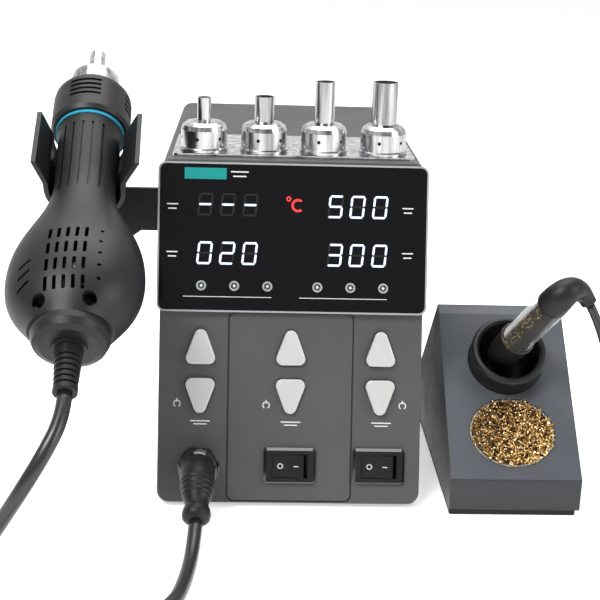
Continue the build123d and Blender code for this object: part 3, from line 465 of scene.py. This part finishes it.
def curve_points(route, resolution=8):
    """Points along the NURBS spline that has the route as its control points."""
    curve = bpy.data.curves.new("route", "CURVE")
    curve.dimensions = "3D"
    spline = curve.splines.new("NURBS")
    spline.points.add(len(route) - 1)
    for place, point in zip(spline.points, route):
        place.co = (*point, 1.0)
    spline.order_u = 3
    spline.use_endpoint_u = True
    spline.resolution_u = resolution
    carrier = bpy.data.objects.new("route", curve)
    bpy.context.scene.collection.objects.link(carrier)
    bpy.context.view_layer.update()
    mesh = bpy.data.meshes.new_from_object(carrier)
    points = [v.co.copy() for v in mesh.vertices]
    bpy.data.objects.remove(carrier)
    kept = [points[0]]
    for point in points[1:]:
        if (point - kept[-1]).length > 1e-5:
            kept.append(point)
    return kept


def length_of(points):
    return sum((b - a).length for a, b in zip(points, points[1:]))


# ------------------------------------------------------------ cords
def coil_turns(centre, start, end, plan, step=30):
    """Points round a coil; plan is (angle, radius, height) where each changes."""
    turns = []
    count = round((end - start) / step)
    for k in range(count + 1):
        angle = start + (end - start) * k / count
        for (a0, r0, z0), (a1, r1, z1) in zip(plan, plan[1:]):
            if a0 <= angle <= a1:
                part = (angle - a0) / (a1 - a0)
                radius, height = r0 + (r1 - r0) * part, z0 + (z1 - z0) * part
        turns.append((centre[0] + radius * math.cos(math.radians(angle)),
                      centre[1] + radius * math.sin(math.radians(angle)), height))
    return turns


GUN_TAIL = Vector((-88.912, -64.973, 82.345))
GUN_OUT = Vector((0.029269, -0.83816, -0.544639))
PLUG_END = Vector((-40.4, -34.5, 11.6))
PLUG_OUT = Vector((-0.04, -0.90, -0.43)).normalized()
GUN_ROUTE = [
    tuple(GUN_TAIL), tuple(GUN_TAIL + GUN_OUT * 11), (-95, -85, 65), (-103, -87.5, 52), (-110.5, -84.5, 39.5),
    (-117, -81.9, 28.66), (-123.5, -75, 17.5), (-126, -63, 8), (-126.6, -49, 3.3)]
GUN_ROUTE += coil_turns((-171, -64), 60, 1350, (
    (60, 38.6, 3.1), (90, 37.8, 3.1), (400, 37.8, 3.1), (460, 31.4, 3.1), (760, 31.4, 3.1), (820, 31.4, 9.2),
    (1110, 31.4, 9.2), (1170, 37.8, 9.2), (1350, 37.8, 9.2)))
GUN_ROUTE += [
    (-158, -102.4, 8.0), (-146, -102.6, 4.8), (-130, -104.5, 3.3), (-114, -107, 3.2), (-84, -107, 3.2),
    (-60, -101, 3.2), (-46, -84, 3.2), (-42.5, -64, 3.6), tuple(PLUG_END + PLUG_OUT * 14), tuple(PLUG_END)]
IRON_BOOT_END = Vector((130.6, 6.0, 99.1))
IRON_OUT = Vector((0.50, -0.12, -0.86)).normalized()
IRON_ROUTE = [
    tuple(IRON_BOOT_END), tuple(IRON_BOOT_END + IRON_OUT * 9), (141, 2.4, 73.5), (150, -1, 52), (157.2, -3.72, 34.8),
    (163, -5.5, 18.5), (171, -9.5, 7), (181.5, -14.3, 2.4)]
IRON_ROUTE += coil_turns((198, 13), 285, 2880, (
    (285, 26.9, 2.05), (600, 26.9, 2.05), (660, 22.7, 2.05), (960, 22.7, 2.05), (1020, 18.5, 2.05),
    (1330, 18.5, 2.05), (1390, 18.5, 6.1), (1680, 18.5, 6.1), (1740, 22.7, 6.1), (2040, 22.7, 6.1),
    (2100, 26.9, 6.1), (2400, 26.9, 6.1), (2460, 26.9, 10.1), (2880, 26.9, 10.1)), 29.83)
IRON_ROUTE += [(225.9, 25.5, 10.3), (223.2, 37, 9.9), (222.3, 51, 9.5)]


def make_cord(name, route, diameter, body, nodes, **facts):
    path = curve_points([at(*point) for point in route])
    verts, faces = swept(path, diameter / 2, 20)
    tube = piece(name, verts, faces, PAINTS["cord_black"], None, smooth=True)
    facts.pop("start")
    facts.pop("end")
    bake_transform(tube)
    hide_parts(*nodes)
    round(length_of(path), 3)
    return tube


gun_hang = at(-88.9, -65.0, 0)
make_cord("gun_cord", GUN_ROUTE, 0.006, "gun",
          ("gun_cord_drop", "gun_cord_run", "gun_cord_lead", "gun_cord_coil"),
          start=(gun_hang.x, gun_hang.y, 0.078), end=(gun_hang.x, gun_hang.y, 0.030),
          far_end="object", stiffness="limp", lay="coiled")
iron_hang = at(130.6, 6.0, 0)
make_cord("iron_cord", IRON_ROUTE, 0.004, "iron",
          ("iron_cord_drop", "iron_cord_run", "iron_cord_coil", "iron_cord_tail"),
          start=(iron_hang.x, iron_hang.y, 0.094), end=(iron_hang.x, iron_hang.y, 0.030),
          far_end="plug", stiffness="limp", lay="coiled", with_pieces=[frame["nodes"]["iron_plug"]])

# ------------------------------------------------------------ display
WINDOW = 2.92                   # height of the dark window above the panel
SEGMENT_THICK = 0.04
PRINT_THICK = 0.03


def segment(centre, along, across, length, width):
    """Pointed bar of a seven-segment digit."""
    half = length / 2
    tip = width / 2
    shape = [(-half, 0), (-half + tip, tip), (half - tip, tip), (half, 0), (half - tip, -tip), (-half + tip, -tip)]
    return [(centre[0] + u * along[0] + v * across[0], centre[1] + u * along[1] + v * across[1]) for u, v in shape]


SEGMENTS = {"0": "abcdef", "2": "abged", "3": "abgcd", "5": "afgcd", "-": "g"}


def digit(lit, dark, text, x, s, tall=10.3, wide=6.6, bar=0.95, slant=0.10):
    half = tall / 2
    reach = wide / 2
    level = {"a": half - bar / 2, "g": 0.0, "d": -half + bar / 2}
    for key in "abcdefg":
        if key in level:
            v = level[key]
            outline = segment((x + v * slant, s + v), (1, 0), (slant, 1), wide - bar * 0.9, bar)
        else:
            side = reach - bar / 2 if key in "bc" else -reach + bar / 2
            v = half / 2 - bar / 4 if key in "bf" else -half / 2 + bar / 4
            outline = segment((x + side + v * slant, s + v), (slant, 1), (1, 0), half - bar * 0.9, bar)
        (lit if key in SEGMENTS.get(text, "") else dark).prism(outline, on_face, WINDOW, WINDOW + SEGMENT_THICK)


lit, dark = Solids(), Solids()
for row, left, right in ((138.2, "---", "500"), (116.3, "020", "300")):
    for columns, text in (((-39.9, -29.7, -19.6), left), ((19.0, 28.9, 39.2), right)):
        for x, mark in zip(columns, text):
            digit(lit, dark, mark, x, row)
piece("display_digits", lit.points, lit.faces, LIT, "root")
piece("display_unlit", dark.points, dark.faces, DIM, "root")


def band(solids, x, s, outer, inner, start, end, low, high, steps=20):
    """Ring sector as short prisms."""
    for k in range(steps):
        a0, a1 = (math.radians(start + (end - start) * (k + j) / steps) for j in (0, 1))
        outline = [(x + r * math.cos(a), s + r * math.sin(a)) for r, a in
                   ((outer, a0), (outer, a1), (inner, a1), (inner, a0))]
        solids.prism(outline, on_face, low, high)


red = Solids()
band(red, -2.3, 141.3, 1.15, 0.55, 0, 360, WINDOW, WINDOW + SEGMENT_THICK)
band(red, 1.9, 138.4, 3.0, 1.95, 50, 310, WINDOW, WINDOW + SEGMENT_THICK)
piece("display_degrees", red.points, red.faces, RED, "root")


def bar(solids, x, s, wide, tall, low, high, place=on_face):
    solids.prism([(x - wide / 2, s - tall / 2), (x + wide / 2, s - tall / 2), (x + wide / 2, s + tall / 2),
                  (x - wide / 2, s + tall / 2)], place, low, high)


marks = Solids()
for x, s, wide in ((-54.6, 137.1, 5.0), (-54.5, 115.6, 5.0), (51.8, 137.0, 5.0), (52.0, 116.6, 5.0),
                   (-24.6, 152.0, 8.0)):
    for k in range(2):
        bar(marks, x, s + 1.0 - 2.0 * k, wide * (1 - 0.25 * k), 0.55, WINDOW, WINDOW + PRINT_THICK)
for centre in (-29.4, 23.1):
    bar(marks, centre, 96.6, 40.0, 0.28, WINDOW, WINDOW + PRINT_THICK)
piece("display_marks", marks.points, marks.faces, PRINT, "root")

prints = Solids()
for x in (-40.8, 0.4, 41.9):
    low = 0.62 if abs(x) < 5 else 0.02
    bar(prints, x, 39.9, 9.0, 0.5, low, low + 0.05)
    bar(prints, x, 38.5, 6.0, 0.5, low, low + 0.05)
for x, s in ((-51.4, 47.7), (-10.9, 47.5), (51.5, 47.9)):
    low = 0.62 if abs(x) < 20 else 0.02
    band(prints, x, s, 1.7, 1.25, -60, 240, low, low + 0.05)
    bar(prints, x, s + 1.6, 0.5, 1.6, low, low + 0.05)
piece("panel_marks", prints.points, prints.faces, PRINT, "root")


badge = Solids()
badge.prism([(-49.4, 149.5), (-30.5, 149.5), (-30.5, 154.6), (-49.4, 154.6)], on_face, WINDOW,
            WINDOW + PRINT_THICK)
piece("display_badge", badge.points, badge.faces, TEAL, "root")

# Small pale discs in the middle of the six dark status lamps: painted highlights.
lamp_glints = Solids()
for x in (-41.2, -26.3, -11.3, 11.3, 26.3, 41.2):
    band(lamp_glints, x, 101.6, 0.62, 0.0, 0, 360, 1.5, 3.0, 12)
piece("lamp_lenses", lamp_glints.points, lamp_glints.faces, PRINT, "root")

for body, x, lift in (("rocker_middle", 0.3, 0.6), ("rocker_right", 41.0, 0.0)):
    tilt = math.radians(-8)
    signs = Solids()

    def on_paddle(u, v, h, x=x, lift=lift, tilt=tilt):
        """Point on the paddle's V-shaped top, which is turned about its pin."""
        top = 5.6 - 0.9 * (7.1 - abs(u)) / 7.1 + h
        return on_face(x + u * math.cos(tilt) + top * math.sin(tilt), 20 + v,
                       -3.0 + lift + top * math.cos(tilt) - u * math.sin(tilt))

    for k in range(20):
        a0, a1 = 2 * math.pi * k / 20, 2 * math.pi * (k + 1) / 20
        signs.prism([(-3.6 + r * math.cos(a), r * math.sin(a)) for r, a in
                     ((1.25, a0), (1.25, a1), (0.9, a1), (0.9, a0))], on_paddle, 0.01, 0.05)
    signs.prism([(2.5, -0.2), (4.7, -0.2), (4.7, 0.2), (2.5, 0.2)], on_paddle, 0.01, 0.05)
    piece(body + "_signs", signs.points, signs.faces, PRINT, body)


# ------------------------------------------------------------ brass wool
CURLS = 1900


def wool():
    points, faces = [], []
    for k in range(CURLS):
        angle = random.uniform(0, 2 * math.pi)
        away = math.sqrt(random.random()) * 0.985
        height = random.uniform(-2.4, 1.6) + 1.6 * (1 - away ** 2)
        centre = Vector((away * WOOL_HALF.x * math.cos(angle), away * WOOL_HALF.y * math.sin(angle), height))
        axis = Vector((random.gauss(0, 1), random.gauss(0, 1), random.gauss(0, 0.7))).normalized()
        first = axis.orthogonal().normalized()
        second = axis.cross(first)
        curl = random.uniform(0.55, 1.5)
        width = random.uniform(0.25, 0.6)
        turn = random.uniform(2.2, 5.2)
        pitch = random.uniform(0.2, 0.8)
        phase = random.uniform(0, 6.28)
        steps = 11
        start = len(points)
        for j in range(steps + 1):
            a = phase + turn * j / steps
            spot = centre + (first * math.cos(a) + second * math.sin(a)) * curl + axis * (pitch * j / steps)
            over = math.hypot(spot.x / WOOL_HALF.x, spot.y / WOOL_HALF.y)
            if over > 1:
                spot.x /= over
                spot.y /= over
            tilt = axis + (first * math.cos(a) + second * math.sin(a)) * 0.5
            points += [on_slant(*(Vector((0, WOOL_STATION, 0)) + spot - tilt * width / 2)),
                       on_slant(*(Vector((0, WOOL_STATION, 0)) + spot + tilt * width / 2))]
            if j:
                b = start + 2 * (j - 1)
                faces.append((b, b + 1, b + 3, b + 2))
    body = piece("brass_curls", points, faces, PAINTS["wool_brass"], "wool", smooth=True)
    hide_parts("brass_wool")
    # Dark brown sheet under the curls: painted shadow deep in the wool.
    bed_points, bed_faces = [], []
    rings, around = 10, 48
    for r in range(rings + 1):
        for j in range(around):
            a = 2 * math.pi * j / around
            away = 0.96 * r / rings
            lump = 0.4 * math.sin(5 * a + r) * math.sin(r * 1.7)
            bed_points.append(on_slant(away * WOOL_HALF.x * math.cos(a),
                                       WOOL_STATION + away * WOOL_HALF.y * math.sin(a),
                                       -1.6 + 1.2 * (1 - (r / rings) ** 2) + lump))
            if r:
                low = (r - 1) * around
                after = (j + 1) % around
                bed_faces.append((low + j, low + after, low + around + after, low + around + j))
    piece("wool_bed", bed_points, bed_faces, WOOL_SHADOW_PAINT, "wool", smooth=True)


# Paint of that sheet: painted shadow.
WOOL_SHADOW_PAINT = coated("wool_shadow", (0.028, 0.016, 0.006), 0.6, grain=900.0, depth=0.0003, spread=0.5, cloud=200.0)
wool()


# ------------------------------------------------------------ rubber boots
def bezier(a, b, c, d, t):
    return a * (1 - t) ** 3 + b * 3 * (1 - t) ** 2 * t + c * 3 * (1 - t) * t * t + d * t ** 3


def between(pairs, t):
    for (t0, r0), (t1, r1) in zip(pairs, pairs[1:]):
        if t <= t1:
            return r0 + (r1 - r0) * (t - t0) / (t1 - t0)
    return pairs[-1][1]


start = on_face(-41, 19, 12.8)
end = at(*PLUG_END)
line = [bezier(start, start + FACE_OUT * 0.009, end - PLUG_OUT * 0.009, end, k / 120) for k in range(121)]
profile = ((0, 6.6), (0.02, 7.9), (0.22, 7.8), (0.45, 7.3), (0.60, 6.4), (0.68, 5.3), (0.74, 5.1), (0.80, 5.9),
           (0.87, 6.3), (0.94, 5.9), (0.985, 4.4), (1.0, 3.4))
radii = []
for k in range(121):
    t = k / 120
    radius = between(profile, t)
    if 0.35 < t < 0.62:
        radius += 0.18 * math.sin((t - 0.35) / 0.27 * 2 * math.pi * 4)
    radii.append(radius / 1000)
verts, faces = swept(line, radii, 48)
boot = piece("gun_plug_boot", verts, faces, PAINTS["rubber_black"], "root", smooth=True)
collar_path = [on_face(-41, 19, h) for h in (9.0, 12.9)]
core_points, core_faces = swept(collar_path, 0.0063, 48)
piece("gun_plug_core", core_points, core_faces, PAINTS["rubber_black"], "root", smooth=False)
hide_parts("gun_plug")

start = IRON_SEAT + IRON_AXIS * 0.044
end = at(*IRON_BOOT_END)
line = [bezier(start, start + IRON_AXIS * 0.013, end - IRON_OUT * 0.013, end, k / 60) for k in range(61)]
profile = ((0, 6.7), (0.02, 7.1), (0.2, 6.8), (0.4, 6.2), (0.6, 5.4), (0.8, 4.4), (0.93, 3.6), (0.985, 3.5),
           (1.0, 2.9))
radii = [between(profile, k / 60) / 1000 for k in range(61)]
verts, faces = swept(line, radii, 48)
boot = piece("iron_boot_skin", verts, faces, PAINTS["rubber_black"], "iron", smooth=True)
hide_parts("iron_boot")

# ------------------------------------------------------------ floor, light, camera
scene = bpy.context.scene
floor_mesh = bpy.data.meshes.new("floor")
floor_mesh.from_pydata([(-4, -3, 0), (4, -3, 0), (4, 5, 0), (-4, 5, 0)], [], [(0, 1, 2, 3)])
floor = bpy.data.objects.new("floor", floor_mesh)
scene.collection.objects.link(floor)
ground = Paint("pale_floor", Roughness=0.6, Emission_Color=(1, 1, 1, 1), Emission_Strength=0.48)
ground.set(Base_Color=ground.mixed(ground.noise(3.0), (0.86, 0.86, 0.86, 1), (0.88, 0.88, 0.88, 1)))
floor_mesh.materials.append(ground.material)

world = bpy.data.worlds.new("studio")
scene.world = world
world.use_nodes = True
background = next(n for n in world.node_tree.nodes if n.type == "BACKGROUND")
direction = world.node_tree.nodes.new("ShaderNodeTexCoord")
parts = world.node_tree.nodes.new("ShaderNodeSeparateXYZ")
world.node_tree.links.new(direction.outputs["Generated"], parts.inputs[0])
depth = Value(world.node_tree, parts.outputs[1])
height = Value(world.node_tree, parts.outputs[2])
ahead = depth.above(0.35, 0.5)
strips = (1.0 - (height - 0.30).math("ABSOLUTE", height - 0.30).above(0.10, 0.06)) * 0.55
glow = (ahead * 0.80 + 0.20 + strips * (1.0 - ahead)).clamp()
world.node_tree.links.new(glow.socket, background.inputs[1])
background.inputs[0].default_value = (1.0, 1.0, 1.0, 1)


def light(name, place, aim, wide, tall, power):
    data = bpy.data.lights.new(name, "AREA")
    data.shape = "RECTANGLE"
    data.size = wide
    data.size_y = tall
    data.energy = power
    thing = bpy.data.objects.new(name, data)
    scene.collection.objects.link(thing)
    thing.location = place
    thing.rotation_euler = (Vector(aim) - Vector(place)).to_track_quat("-Z", "Y").to_euler()


light("key", (-0.55, -0.65, 1.1), (0, 0, 0.08), 0.6, 0.4, 17)
light("fill", (1.0, -0.6, 0.6), (0, 0, 0.08), 0.5, 0.8, 8)
light("top", (0.0, 0.3, 1.3), (0, 0, 0.1), 1.2, 0.9, 16)

PITCH, YAW, ROLL = (math.radians(a) for a in (18.164, 2.424, 1.768))
forward = Vector((math.sin(YAW) * math.cos(PITCH), math.cos(YAW) * math.cos(PITCH), -math.sin(PITCH)))
right = Vector((math.cos(YAW), -math.sin(YAW), 0))
up = right.cross(forward)
right2 = right * math.cos(ROLL) + up * math.sin(ROLL)
up2 = up * math.cos(ROLL) - right * math.sin(ROLL)
camera_data = bpy.data.cameras.new("camera")
camera_data.lens = 72
camera_data.sensor_width = 36
camera = bpy.data.objects.new("camera", camera_data)
scene.collection.objects.link(camera)
turned = Matrix((right2, up2, -forward)).transposed().to_4x4()
turned.translation = at(-18.25, -491.32, 262.0)
camera.matrix_world = turned
scene.camera = camera
scene.view_settings.view_transform = "Standard"
